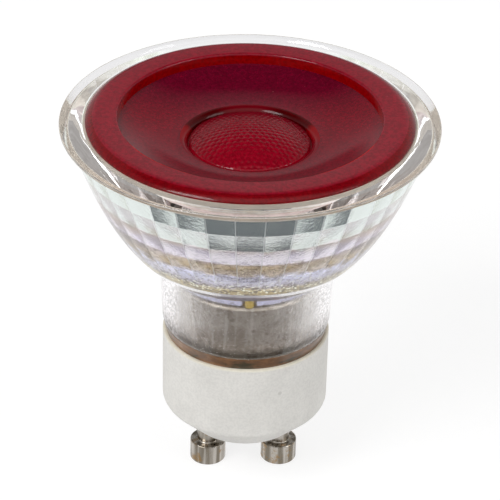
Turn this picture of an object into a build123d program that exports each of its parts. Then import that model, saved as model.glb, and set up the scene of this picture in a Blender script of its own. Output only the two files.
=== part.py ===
# LED spotlight bulb with a two-pin twist-lock cap.
#
# A pressed glass reflector, clear outside and faceted inside, stands on a ceramic cap. A red
# moulded lens closes its mouth. An aluminium cup in the neck carries the LED board and takes its
# heat away, and a plastic sleeve inside the cup holds the driver board with its parts.
# Yellow paste holds the board to the cup.
# Millimetres, +Z up, the pins on the X axis, the origin on the axis at the pins' lower ends.

from build123d import *
from math import asin, cos, pi, radians, sin, tan
import os

# Driving dimensions
lamp_dia = 50.0            # across the glass rim
rim_z = 54.2               # flat top of the glass rim
lens_z = 55.0              # top face of the lens ring
neck_top_z = 33.9          # sharp corner where the bowl leaves the neck
neck_top_r = 11.89
neck_low_r = 11.5
pin_spacing = 10.0
cap_r = 11.42              # ceramic cap
cap_top_z = 22.25
cap_side_z = 11.2          # lower end of the cap's straight side
seat_z = 7.6               # flat underside of the cap, length of the pins

# Glass reflector
rim_r = lamp_dia / 2
bowl_low_z = neck_top_z
bowl_high_z = 51.9
bowl_swell = 11.5          # how far the bowl widens over the neck
bowl_power = 0.724
bowl_weight = 1.73
rim_root_z = 52.78         # where the bowl turns out into the rim
rim_edge = 0.2             # rounding of the rim's two outer edges
rim_band = 0.15            # height of the rim's upright edge
rim_slope = 30             # degrees that the rim's underside rises outward
lip_round = 0.6            # rounding under the rim
neck_round = 1.6           # rounding of the neck's lower edge
neck_low_z = 23.2
spigot_r = 9.4
spigot_z = 17.9
bore_r = 8.35
seat_r = 21.8              # recess in the rim that takes the lens
lens_seat_z = 52.5
facet_columns = 36
facet_turn = -1.8          # a facet's middle, in degrees past the -Y side
facet_edges = [            # height and radius at the middle of each facet row's edge
    (52.5, 20.9),
    (49.6, 19.85),
    (46.65, 18.45),
    (43.95, 16.95),
    (41.75, 15.5),
    (39.1, 13.6),
]
ring_foot_z = 37.3         # foot of the smooth ring under the facets
ring_foot_r = 12.3
bowl_floor_z = 34.6        # foot of the funnel under the ring
bowl_floor_r = 9.6

# Lens
lens_r = 21.6
lens_edge_r = 19.9         # where the rounded shoulder meets the flat top
lens_shoulder_z = 54.3
recess_r = 17.3
recess_step = 1.5
step_draft = 0.06          # how far the step's wall leans outward
step_round = 0.3           # rounding of the ring's inner edge
pit_r = 9.2                # where the dish turns down round the dome
pit_edge_z = 51.5
pit_bend = (8.42, 51.2)    # a point of the rounded turn into the groove
groove_r = 8.1
groove_z = 50.5
dome_r = 7.9
dome_foot_z = 51.0
dome_top_z = 53.2
dish_sag = 0.45            # how far the dish sinks below a straight line
lens_skin = 1.9            # thickness of the dish
cone_top_r = 9.7
cone_top_z = 48.0
cone_bend = (7.8, 41.0)    # a point halfway up the cone's curved side
cone_low_r = 4.3
cone_low_z = 33.9
cone_hollow_r = 3.1        # hollow over the LED
cone_hollow_z = 37.5

# Heat sink cup, LED and its board
cup_r = 8.2
cup_wall = 0.8
cup_top_z = 31.1
cup_low_z = 17.6
cup_corner = 0.6
pad_r = 7.4
pad_thick = 0.2
bead_r = 0.55              # thermal paste that has risen in the board's rim notches
bead_y = 7.65
bead_rise = 0.15           # how far it stands over the board
bead_round = 0.25
board_r = 7.9
board_thick = 1.0
notch_r = 0.9
package_side = 5.0
package_thick = 0.7
package_corner = 0.4
phosphor_r = 2.0
phosphor_rise = 0.35
wire_hole_r = 0.75
wire_hole_x = 4.9

# Ceramic cap
cap_wall_round = 1.0
cap_seat_round = 0.5
cap_top_round = 0.35
cap_socket_r = 9.6         # takes the glass spigot
cap_ledge_z = 17.6         # the cup and the glass stand on this ledge
cap_cavity_r = 7.6
cap_floor_z = 11.4
pin_hole_clear = 0.1

# Pins
head_r = 2.5
head_height = 3.05
head_round = 0.2
shank_r = 1.5
shank_fillet = 0.25
collar_r = 2.1             # collar that seats against the ceramic
collar_height = 0.5
tail_r = 1.25
tail_top_z = 12.0
tail_hole_r = 0.55
tail_hole_z = 10.2

# Driver sleeve and board
sleeve_r = 7.3
sleeve_wall = 0.5
sleeve_top_z = 29.8
plate_width = 12.8
plate_thick = 1.0
plate_low_z = 13.6
plate_high_z = 26.8
tongue_width = 5.0

# Driver parts
capacitor_r = 2.5
capacitor_height = 10.0
capacitor_x = -2.7
coil_x = 2.7
coil_r = 2.5
coil_core_r = 1.1
coil_flange = 0.9
coil_height = 7.0
fuse_r = 1.1
fuse_length = 5.6

# Wires
led_wire_r = 0.45
mains_wire_r = 0.4


def turned(points):
    """Solid of revolution about Z from a closed outline of radius and height pairs."""
    outline = Polyline(*points, close=True)
    return revolve(Plane.XZ * make_face(outline), Axis.Z)


def turned_wire(edges):
    """Solid of revolution about Z from a closed chain of edges drawn in radius and height."""
    return revolve(Plane.XZ * make_face(edges), Axis.Z)


def post(radius, low, high, x=0.0, y=0.0):
    """Upright cylinder between two heights."""
    return Pos(x, y, (low + high) / 2) * Cylinder(radius, high - low)


def block(width, depth, low, high, x=0.0, y=0.0):
    """Upright box between two heights."""
    return Pos(x, y, (low + high) / 2) * Box(width, depth, high - low)


def crown(radius, low, top):
    """Arc from the axis down to an edge, part of a sphere that is centred on the axis."""
    rise = top - low
    ball = (radius**2 + rise**2) / (2 * rise)
    half = asin(radius / ball) / 2
    return ThreePointArc((0, top), (ball * sin(half), top - ball + ball * cos(half)),
                         (radius, low))


def bowl_radius(height):
    """Outer radius of the glass bowl at a height, from the measured outline's formula."""
    part = (height - bowl_low_z) / (bowl_high_z - bowl_low_z)
    return neck_top_r + bowl_swell * (bowl_weight * part**bowl_power - (bowl_weight - 1) * part)


def glass_outside():
    """Neck, bowl and rim as one turned blank with the lens recess, before it is hollowed."""
    span = rim_root_z - bowl_low_z
    bowl = [(bowl_radius(bowl_low_z + span * k * k), bowl_low_z + span * k * k) for k in
            (0.0, 0.15, 0.3, 0.45, 0.6, 0.8, 1.0)]
    rise = radians(rim_slope)
    band_z = rim_z - rim_edge - rim_band
    lip = (rim_r - rim_edge * (1 - sin(rise)), band_z - rim_edge * cos(rise))
    root_r = bowl[-1][0] + lip_round / 2
    root = (root_r, lip[1] - (lip[0] - root_r) * tan(rise))
    slant = (neck_top_r - neck_low_r) * neck_round / (neck_top_z - neck_low_z)
    with BuildLine() as outline:
        Polyline((0, spigot_z), (spigot_r, spigot_z), (spigot_r, neck_low_z),
                 (neck_low_r - neck_round, neck_low_z))
        RadiusArc((neck_low_r - neck_round, neck_low_z),
                  (neck_low_r + slant, neck_low_z + neck_round), -neck_round)
        Line((neck_low_r + slant, neck_low_z + neck_round), bowl[0])
        Spline(*bowl)
        RadiusArc(bowl[-1], root, lip_round)
        Line(root, lip)
        RadiusArc(lip, (rim_r, band_z), -rim_edge)
        Line((rim_r, band_z), (rim_r, rim_z - rim_edge))
        RadiusArc((rim_r, rim_z - rim_edge), (rim_r - rim_edge, rim_z), -rim_edge)
        Polyline((rim_r - rim_edge, rim_z), (seat_r + 0.2, rim_z), (seat_r, rim_z - 0.3),
                 (seat_r, lens_seat_z), (0, lens_seat_z), (0, spigot_z))
    return turned_wire(outline.edges())


def facet_ring(height, radius):
    """Regular outline of one facet edge, with the facets' middles at the given radius."""
    corner = radius / cos(pi / facet_columns)
    turn = -90 + facet_turn + 180 / facet_columns
    return Plane((0, 0, height)) * RegularPolygon(corner, facet_columns, rotation=turn)


def facet_core():
    """Stacked many-sided frustums, whose flat sides cut the facets into the glass."""
    core = None
    for upper, lower in zip(facet_edges, facet_edges[1:]):
        row = loft([facet_ring(*lower), facet_ring(*upper)], ruled=True)
        core = row if core is None else core + row
    return core


def make_glass_reflector():
    low_z, low_r = facet_edges[-1]
    floor = turned([(0, bowl_floor_z), (bowl_floor_r, bowl_floor_z), (ring_foot_r, ring_foot_z),
                    (low_r - 0.25, low_z), (0, low_z)])
    throat = turned([(0, spigot_z - 1), (bore_r, spigot_z - 1), (bore_r, bowl_floor_z - 0.8),
                     (bowl_floor_r, bowl_floor_z), (0, bowl_floor_z)])
    return glass_outside() - facet_core() - floor - throat


def make_front_lens():
    """Ring with a rounded shoulder, a stepped concave dish, the grooved dome and the cone."""
    dish_mid = ((recess_r + pit_r) / 2, (lens_z - recess_step + pit_edge_z) / 2 - dish_sag)
    back_mid = (dish_mid[0], dish_mid[1] - lens_skin)
    step_r = recess_r + step_draft
    with BuildLine() as outline:
        crown(dome_r, dome_foot_z, dome_top_z)
        Line((dome_r, dome_foot_z), (groove_r, groove_z))
        ThreePointArc((groove_r, groove_z), pit_bend, (pit_r, pit_edge_z))
        ThreePointArc((pit_r, pit_edge_z), dish_mid, (recess_r, lens_z - recess_step))
        Line((recess_r, lens_z - recess_step), (step_r, lens_z - step_round))
        RadiusArc((step_r, lens_z - step_round), (step_r + step_round, lens_z), step_round)
        Line((step_r + step_round, lens_z), (lens_edge_r, lens_z))
        ThreePointArc((lens_edge_r, lens_z), (lens_r - 0.5, lens_shoulder_z + 0.42),
                      (lens_r, lens_shoulder_z))
        Polyline((lens_r, lens_shoulder_z), (lens_r, lens_seat_z), (recess_r + 0.6, lens_seat_z),
                 (recess_r, lens_z - recess_step - lens_skin))
        ThreePointArc((recess_r, lens_z - recess_step - lens_skin), back_mid,
                      (cone_top_r, pit_edge_z - lens_skin))
        Polyline((cone_top_r, pit_edge_z - lens_skin), (cone_top_r, cone_top_z))
        ThreePointArc((cone_top_r, cone_top_z), cone_bend, (cone_low_r, cone_low_z))
        Polyline((cone_low_r, cone_low_z), (cone_hollow_r, cone_low_z),
                 (cone_hollow_r - 0.3, cone_hollow_z))
        crown(cone_hollow_r - 0.3, cone_hollow_z, cone_hollow_z + 0.9)
        Line((0, cone_hollow_z + 0.9), (0, dome_top_z))
    return turned_wire(outline.edges())


def make_lens_bond(glass, lens):
    """Clear silicone that fills the narrow gap round the lens."""
    fill = turned([(lens_r - 0.3, lens_seat_z), (seat_r + 0.3, lens_seat_z),
                   (seat_r + 0.12, rim_z - 0.15), (lens_r - 0.3, rim_z - 0.15)])
    return fill - glass - lens


def make_ceramic_base():
    """Cap with a bevelled underside, a socket for the glass and two pin holes."""
    bevel = cap_side_z - seat_z
    body = turned([(0, seat_z), (cap_r - bevel, seat_z), (cap_r, cap_side_z), (cap_r, cap_top_z),
                   (0, cap_top_z)])
    rims = body.edges().filter_by(GeomType.CIRCLE).sort_by(Axis.Z)
    body = fillet(rims[-1], cap_top_round)
    rims = body.edges().filter_by(GeomType.CIRCLE).sort_by(Axis.Z)
    body = fillet(rims[1], cap_wall_round)
    rims = body.edges().filter_by(GeomType.CIRCLE).sort_by(Axis.Z)
    body = fillet(rims[0], cap_seat_round)
    socket = turned([(0, cap_floor_z), (cap_cavity_r, cap_floor_z), (cap_cavity_r, cap_ledge_z),
                     (cap_socket_r, cap_ledge_z), (cap_socket_r, cap_top_z + 1),
                     (0, cap_top_z + 1)])
    body -= socket
    for x in (-pin_spacing / 2, pin_spacing / 2):
        body -= post(tail_r + pin_hole_clear, seat_z - 1, cap_floor_z + 1, x)
    return body


def make_neck_bond(glass, ceramic):
    """Brown cement that fills the socket and shows as a band under the glass."""
    fill = turned([(spigot_r - 0.3, spigot_z + 0.3), (cap_socket_r, spigot_z + 0.3),
                   (cap_socket_r, cap_top_z), (cap_r - 0.45, cap_top_z),
                   (neck_low_r - 0.1, neck_low_z + 1.1), (spigot_r - 0.3, neck_low_z + 1.1)])
    return fill - glass - ceramic


def make_pin(side):
    """Turned contact: head, shank, collar against the ceramic, and a hollow riveted tail."""
    edge = head_round
    with BuildLine() as outline:
        Line((0, 0), (head_r - edge, 0))
        RadiusArc((head_r - edge, 0), (head_r, edge), -edge)
        Line((head_r, edge), (head_r, head_height - edge))
        RadiusArc((head_r, head_height - edge), (head_r - edge, head_height), -edge)
        Line((head_r - edge, head_height), (shank_r + shank_fillet, head_height))
        RadiusArc((shank_r + shank_fillet, head_height),
                  (shank_r, head_height + shank_fillet), shank_fillet)
        Polyline((shank_r, head_height + shank_fillet), (shank_r, seat_z - collar_height),
                 (collar_r, seat_z - collar_height), (collar_r, seat_z), (tail_r, seat_z),
                 (tail_r, cap_floor_z), (tail_r + 0.35, cap_floor_z),
                 (tail_r + 0.1, tail_top_z), (tail_hole_r + 0.2, tail_top_z),
                 (tail_hole_r, tail_top_z - 0.3), (tail_hole_r, tail_hole_z), (0, tail_hole_z),
                 (0, 0))
    return Pos(side * pin_spacing / 2, 0, 0) * turned_wire(outline.edges())


def wire_notches(low, high):
    """Holes that pass the two LED wires through the plates over the driver."""
    return [post(wire_hole_r, low, high, side * wire_hole_x) for side in (-1, 1)]


def make_heat_sink_cup():
    """Drawn aluminium cup, open below, with a rounded shoulder and two wire holes."""
    cup = turned([(0, cup_low_z), (cup_r, cup_low_z), (cup_r, cup_top_z), (0, cup_top_z)])
    cup = fillet(cup.edges().filter_by(GeomType.CIRCLE).sort_by(Axis.Z)[-1], cup_corner)
    cup -= post(cup_r - cup_wall, cup_low_z - 1, cup_top_z - cup_wall)
    for hole in wire_notches(cup_top_z - cup_wall - 1, cup_top_z + 1):
        cup -= hole
    return cup


def make_thermal_pad():
    """Yellow paste under the board, with a bead of it in each of the board's rim notches."""
    pad = post(pad_r, cup_top_z, cup_top_z + pad_thick)
    for hole in wire_notches(cup_top_z - 1, cup_top_z + 1):
        pad -= hole
    for y in (-bead_y, bead_y):
        bead = post(bead_r, cup_top_z, board_top() + bead_rise, 0, y)
        pad += fillet(bead.edges().filter_by(GeomType.CIRCLE).sort_by(Axis.Z)[-1], bead_round)
    return pad


def board_top():
    return cup_top_z + pad_thick + board_thick


def make_led_board():
    """Round white metal-core board with two wire holes and two screw notches in its rim."""
    low = cup_top_z + pad_thick
    board = post(board_r, low, low + board_thick)
    for hole in wire_notches(low - 1, low + board_thick + 1):
        board -= hole
    for y in (-board_r, board_r):
        board -= post(notch_r, low - 1, low + board_thick + 1, 0, y)
    return board


def make_led_package():
    """White ceramic package with a shallow round well for the phosphor."""
    low = board_top()
    package = block(package_side, package_side, low, low + package_thick)
    package = fillet(package.edges().filter_by(Axis.Z), package_corner)
    return package - post(phosphor_r, low + package_thick / 2, low + package_thick + 1)


def make_led_phosphor():
    """Yellow gel that fills the well and bulges a little."""
    low = board_top() + package_thick / 2
    top = board_top() + package_thick
    with BuildLine() as outline:
        Polyline((0, low), (phosphor_r, low), (phosphor_r, top))
        crown(phosphor_r, top, top + phosphor_rise)
        Line((0, top + phosphor_rise), (0, low))
    return turned_wire(outline.edges())


def make_driver_sleeve():
    """Plastic cap that keeps the live parts away from the cup."""
    sleeve = post(sleeve_r, cap_floor_z, sleeve_top_z)
    sleeve -= post(sleeve_r - sleeve_wall, cap_floor_z - 1, sleeve_top_z - sleeve_wall)
    for hole in wire_notches(sleeve_top_z - 2, sleeve_top_z + 1):
        sleeve -= hole
    return sleeve


def make_driver_board():
    """Upright board that stands on the ceramic floor on a tongue between the pins."""
    plate = block(plate_width, plate_thick, plate_low_z, plate_high_z)
    return plate + block(tongue_width, plate_thick, cap_floor_z, plate_low_z + 0.5)


def make_bulk_capacitor():
    """Electrolytic can with its crimp groove, lying against the board."""
    y = plate_thick / 2 + capacitor_r
    low = plate_low_z + 2.2
    groove = 0.25
    can = turned([(0, low), (capacitor_r - 0.2, low), (capacitor_r, low + 0.2),
                  (capacitor_r, low + 1.0), (capacitor_r - groove, low + 1.3),
                  (capacitor_r, low + 1.6), (capacitor_r, low + capacitor_height - 0.3),
                  (capacitor_r - 0.3, low + capacitor_height), (0, low + capacitor_height)])
    return Pos(capacitor_x, y, 0) * can


def coil_base():
    return plate_low_z + 3.6


def make_coil_core():
    """Ferrite drum with two flanges."""
    low, high = coil_base(), coil_base() + coil_height
    drum = turned([(0, low), (coil_r, low), (coil_r, low + coil_flange),
                   (coil_core_r, low + coil_flange), (coil_core_r, high - coil_flange),
                   (coil_r, high - coil_flange), (coil_r, high), (0, high)])
    return Pos(coil_x, plate_thick / 2 + coil_r, 0) * drum


def make_coil_winding():
    """Copper winding between the flanges, with the ripple of its turns."""
    low = coil_base() + coil_flange
    high = coil_base() + coil_height - coil_flange
    turns = 13
    pitch = (high - low) / turns
    outer = coil_r - 0.3
    with BuildLine() as outline:
        for k in range(turns):
            a, b = low + k * pitch, low + (k + 1) * pitch
            Polyline((outer, a), (outer + pitch * 0.3, (a + b) / 2), (outer, b))
        Polyline((outer, high), (coil_core_r, high), (coil_core_r, low), (outer, low))
    return Pos(coil_x, plate_thick / 2 + coil_r, 0) * turned_wire(outline.edges())


def chip(width, height, depth, x, z, legs):
    """Moulded package on the back of the driver board, with flat legs down its two sides."""
    back = -plate_thick / 2
    standoff = 0.1
    body = block(width, depth, z - height / 2, z + height / 2, x, back - standoff - depth / 2)
    body = chamfer(body.faces().sort_by(Axis.Y)[0].edges(), 0.2)
    foot = 0.55
    for side in (-1, 1):
        for k in range(legs):
            place = z + (k - (legs - 1) / 2) * 1.27
            out = x + side * (width / 2 + foot / 2 - 0.15)
            leg = block(foot + 0.3, 0.6, place - 0.2, place + 0.2, out, back - 0.3)
            body += leg
    return body


def make_bridge_rectifier():
    return chip(3.9, 4.7, 2.2, -2.6, 18.4, 2)


def make_driver_chip():
    return chip(3.9, 4.9, 1.5, 2.7, 18.4, 4)


def make_flyback_diode():
    return chip(4.2, 2.6, 2.0, 0.0, 23.2, 1)


def make_chip_resistors():
    """Two sense resistors side by side over the diode."""
    back = -plate_thick / 2
    pair = []
    for x in (-2.4, 2.4):
        pair.append(block(3.2, 0.55, 24.9, 26.5, x, back - 0.275))
    return Compound(children=pair)


def make_fuse_resistor():
    """Fusible resistor lying across the foot of the board, with raised end caps."""
    cap_length, step = 1.1, 0.15
    z = plate_low_z + fuse_r - 0.1
    body = Cylinder(fuse_r - step, fuse_length)
    for side in (-1, 1):
        end = Pos(0, 0, side * (fuse_length - cap_length) / 2) * Cylinder(fuse_r, cap_length)
        body += fillet(end.edges().filter_by(GeomType.CIRCLE), step)
    return Pos(0, plate_thick / 2 + fuse_r, z) * Rot(0, 90, 0) * body


def swept_wire(points, radius, bends):
    """Round wire along straight runs with arcs at the corners."""
    path = FilletPolyline(*points, radius=bends)
    return sweep(Plane(path ^ 0) * Circle(radius), path=path)


def make_led_wire(side):
    """Wire from the driver board up through the cup to its pad on the LED board."""
    x = side * wire_hole_x
    top = board_top() + led_wire_r
    points = [(x, -plate_thick / 2 - led_wire_r, 24.6), (x, -plate_thick / 2 - led_wire_r, 27.2),
              (x, 0, 28.1), (x, 0, top), (side * 3.2, 0, top)]
    return swept_wire(points, led_wire_r, [0.6, 0.6, 0.5])


def make_mains_wire(side):
    """Bare wire from the hollow tail of a pin up to its pad on the driver board."""
    x = side * pin_spacing / 2
    front = plate_thick / 2 + mains_wire_r
    points = [(x, 0, tail_hole_z), (x, 0, 12.5), (x, front, 13.3), (x, front, 15.0)]
    return swept_wire(points, mains_wire_r, [0.6, 0.6])


def build():
    """Every piece by the name of its node."""
    glass = make_glass_reflector()
    lens = make_front_lens()
    ceramic = make_ceramic_base()
    return {
        "glass_reflector": glass,
        "front_lens": lens,
        "lens_bond": make_lens_bond(glass, lens),
        "ceramic_base": ceramic,
        "neck_bond": make_neck_bond(glass, ceramic),
        "pin_left": make_pin(-1),
        "pin_right": make_pin(1),
        "heat_sink_cup": make_heat_sink_cup(),
        "thermal_pad": make_thermal_pad(),
        "led_board": make_led_board(),
        "led_package": make_led_package(),
        "led_phosphor": make_led_phosphor(),
        "driver_sleeve": make_driver_sleeve(),
        "driver_board": make_driver_board(),
        "bulk_capacitor": make_bulk_capacitor(),
        "coil_core": make_coil_core(),
        "coil_winding": make_coil_winding(),
        "bridge_rectifier": make_bridge_rectifier(),
        "driver_chip": make_driver_chip(),
        "flyback_diode": make_flyback_diode(),
        "chip_resistors": make_chip_resistors(),
        "fuse_resistor": make_fuse_resistor(),
        "led_wire_red": make_led_wire(1),
        "led_wire_black": make_led_wire(-1),
        "mains_wire_left": make_mains_wire(-1),
        "mains_wire_right": make_mains_wire(1),
    }


os.makedirs("parts", exist_ok=True)
for name, piece in build().items():
    export_step(piece, f"parts/{name}.step")
    print(name, round(piece.volume, 1))
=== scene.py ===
import bpy
import bmesh
import math
from mathutils import Matrix, Vector


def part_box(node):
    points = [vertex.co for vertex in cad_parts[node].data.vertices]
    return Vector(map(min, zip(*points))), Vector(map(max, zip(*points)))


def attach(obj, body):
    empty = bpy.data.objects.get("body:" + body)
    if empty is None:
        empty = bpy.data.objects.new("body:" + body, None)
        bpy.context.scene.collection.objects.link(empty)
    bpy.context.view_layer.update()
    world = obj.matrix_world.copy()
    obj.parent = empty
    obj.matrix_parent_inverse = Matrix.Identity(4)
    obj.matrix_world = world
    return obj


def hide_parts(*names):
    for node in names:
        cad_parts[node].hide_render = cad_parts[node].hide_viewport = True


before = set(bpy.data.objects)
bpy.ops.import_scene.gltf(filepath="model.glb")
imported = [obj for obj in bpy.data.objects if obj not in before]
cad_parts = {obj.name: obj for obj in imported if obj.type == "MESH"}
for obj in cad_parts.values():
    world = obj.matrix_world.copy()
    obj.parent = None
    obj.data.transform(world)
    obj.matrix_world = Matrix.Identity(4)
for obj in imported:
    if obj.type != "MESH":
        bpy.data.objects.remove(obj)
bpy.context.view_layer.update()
mm = 0.001


def arcPoints(start, middle, end, count):
    # points on the arc through three points, the first left out
    (ax, ay), (bx, by), (cx, cy) = start, middle, end
    d = 2 * (ax * (by - cy) + bx * (cy - ay) + cx * (ay - by))
    ux = ((ax * ax + ay * ay) * (by - cy) + (bx * bx + by * by) * (cy - ay)
          + (cx * cx + cy * cy) * (ay - by)) / d
    uy = ((ax * ax + ay * ay) * (cx - bx) + (bx * bx + by * by) * (ax - cx)
          + (cx * cx + cy * cy) * (bx - ax)) / d
    radius = math.hypot(ax - ux, ay - uy)
    a0 = math.atan2(ay - uy, ax - ux)
    a1 = math.atan2(cy - uy, cx - ux)
    am = math.atan2(by - uy, bx - ux)
    if (am - a0) % math.tau > (a1 - a0) % math.tau:
        sweep = -((a0 - a1) % math.tau)
    else:
        sweep = (a1 - a0) % math.tau
    steps = [a0 + sweep * k / count for k in range(1, count + 1)]
    return [(ux + radius * math.cos(a), uy + radius * math.sin(a)) for a in steps]


def quarter(start, end, centre, count):
    # rounded corner about a known centre, the first point left out
    a0 = math.atan2(start[1] - centre[1], start[0] - centre[0])
    a1 = math.atan2(end[1] - centre[1], end[0] - centre[0])
    sweep = (a1 - a0 + math.pi) % math.tau - math.pi
    radius = math.dist(start, centre)
    steps = [a0 + sweep * k / count for k in range(1, count + 1)]
    return [(centre[0] + radius * math.cos(a), centre[1] + radius * math.sin(a)) for a in steps]


def turnPoints(start, end, radius, count):
    # rounded corner of a given radius whose centre lies to the right of its direction
    chord = math.dist(start, end)
    drop = math.sqrt(radius ** 2 - chord ** 2 / 4) / chord
    centre = ((start[0] + end[0]) / 2 + (end[1] - start[1]) * drop,
              (start[1] + end[1]) / 2 - (end[0] - start[0]) * drop)
    return quarter(start, end, centre, count)


def crownPoints(radius, low, top, count):
    # ball-shaped crown from its edge up to the axis, the edge left out
    ball = (radius ** 2 + (top - low) ** 2) / (2 * (top - low))
    half = math.asin(radius / ball)
    angles = [half * (1 - k / count) for k in range(1, count + 1)]
    return [(ball * math.sin(a), top - ball + ball * math.cos(a)) for a in angles]


def lathe(name, outline, angles, closed):
    # a turned mesh from (radius, height, zone); each face keeps the zone of its first ring
    verts, rings, marks = [], [], []
    for radius, height, zone in outline:
        if radius < 1e-6:       # a point on the axis
            rings.append([len(verts)] * len(angles))
            verts.append((0, 0, height * mm))
            marks.append(zone)
            continue
        rings.append(list(range(len(verts), len(verts) + len(angles))))
        verts += [(radius * mm * math.cos(a), radius * mm * math.sin(a), height * mm) for a in angles]
        marks += [zone] * len(angles)
    pairs = list(zip(rings, rings[1:]))
    if closed:
        pairs.append((rings[-1], rings[0]))
    faces, zones = [], []
    for i, (low, high) in enumerate(pairs):
        for k in range(len(angles)):
            m = (k + 1) % len(angles)
            face = list(dict.fromkeys((low[k], low[m], high[m], high[k])))
            if len(face) > 2:
                faces.append(face)
                zones.append(outline[i][2])
    mesh = bpy.data.meshes.new(name)
    mesh.from_pydata(verts, [], faces)
    mesh.attributes.new("zone", "INT", "FACE").data.foreach_set("value", zones)
    mesh.attributes.new("pointZone", "INT", "POINT").data.foreach_set("value", marks)
    work = bmesh.new()
    work.from_mesh(mesh)
    bmesh.ops.recalc_face_normals(work, faces=work.faces)
    work.to_mesh(mesh)
    work.free()
    piece = bpy.data.objects.new(name, mesh)
    bpy.context.scene.collection.objects.link(piece)
    return piece


def setInputs(node, values):
    # links a node's inputs to sockets or gives them values
    for label, value in values.items():
        if isinstance(value, bpy.types.NodeSocket):
            node.id_data.links.new(value, node.inputs[label])
        else:
            node.inputs[label].default_value = value


def add(tree, kind, values):
    # a new node with its inputs linked or set
    node = tree.nodes.new(kind)
    setInputs(node, values)
    return node


def calc(tree, operation, *values):
    # one maths node whose inputs are sockets or numbers
    node = add(tree, "ShaderNodeMath", dict(enumerate(values)))
    node.operation = operation
    return node.outputs[0]


def axes(tree, vector):
    # the X, Y and Z of a vector socket
    split = add(tree, "ShaderNodeSeparateXYZ", {0: vector}).outputs
    return split["X"], split["Y"], split["Z"]


def newTree(kind, name, given, out):
    # node group with named inputs and outputs, each given as its type or a number to start from
    tree = bpy.data.node_groups.new(name, kind)
    for side, sockets in (("INPUT", given), ("OUTPUT", out)):
        for label, value in sockets.items():
            if isinstance(value, str):
                tree.interface.new_socket(label, in_out=side, socket_type="NodeSocket" + value)
                continue
            number = "NodeSocketInt" if isinstance(value, int) else "NodeSocketFloat"
            tree.interface.new_socket(label, in_out=side, socket_type=number).default_value = value
    return tree, tree.nodes.new("NodeGroupInput"), tree.nodes.new("NodeGroupOutput")


def inZone(tree, given, mark):
    # true where the mesh's own zone number is the one that the tree works on
    zone = tree.nodes.new("GeometryNodeInputNamedAttribute")
    zone.data_type = "INT"
    zone.inputs["Name"].default_value = mark
    same = tree.nodes.new("FunctionNodeCompare")
    same.data_type = "INT"
    same.operation = "EQUAL"
    setInputs(same, {2: zone.outputs["Attribute"], 3: given.outputs["Zone"]})
    return same.outputs[0]


def finishTree(tree, given, out, move):
    # moves the zone's points, makes the mesh real and gives the zone's faces the material
    setInputs(move, {"Geometry": given.outputs["Geometry"],
                     "Selection": inZone(tree, given, "pointZone")})
    real = add(tree, "GeometryNodeRealizeInstances", {0: move.outputs[0]})
    finish = add(tree, "GeometryNodeSetMaterial", {
        "Geometry": real.outputs[0], "Selection": inZone(tree, given, "zone"),
        "Material": given.outputs["Material"]})
    setInputs(out, {0: finish.outputs[0]})


def bake(piece, tree, inputs):
    # runs the tree on the piece and keeps the result as a plain mesh
    modifier = piece.modifiers.new(tree.name, "NODES")
    modifier.node_group = tree
    for item in tree.interface.items_tree:
        if item.item_type == "SOCKET" and item.in_out == "INPUT" and item.name in inputs:
            modifier[item.identifier] = inputs[item.name]
    bpy.context.view_layer.update()
    result = piece.evaluated_get(bpy.context.evaluated_depsgraph_get())
    mesh = bpy.data.meshes.new_from_object(result)
    piece.modifiers.clear()
    piece.data = mesh


def facetTree():
    # pushes the facet rings of a turned mesh out to the sides of a regular many-sided ring
    tree, given, out = newTree("GeometryNodeTree", "facetCut", {
        "Geometry": "Geometry", "Material": "Material", "Columns": 36, "Turn": 0.0, "Zone": 1},
        {"Geometry": "Geometry"})
    x, y, z = axes(tree, tree.nodes.new("GeometryNodeInputPosition").outputs[0])
    width = calc(tree, "DIVIDE", math.tau, given.outputs["Columns"])
    turned = calc(tree, "SUBTRACT", calc(tree, "ARCTAN2", y, x), given.outputs["Turn"])
    # forty whole columns keep the count above zero, and half a one centres it
    share = calc(tree, "FRACT", calc(tree, "ADD", calc(tree, "DIVIDE", turned, width), 40.5))
    off = calc(tree, "MULTIPLY", calc(tree, "SUBTRACT", share, 0.5), width)
    grow = calc(tree, "DIVIDE", 1.0, calc(tree, "COSINE", off))
    place = add(tree, "ShaderNodeCombineXYZ", {
        "X": calc(tree, "MULTIPLY", x, grow), "Y": calc(tree, "MULTIPLY", y, grow), "Z": z})
    move = add(tree, "GeometryNodeSetPosition", {"Position": place.outputs[0]})
    finishTree(tree, given, out, move)
    return tree


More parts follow.
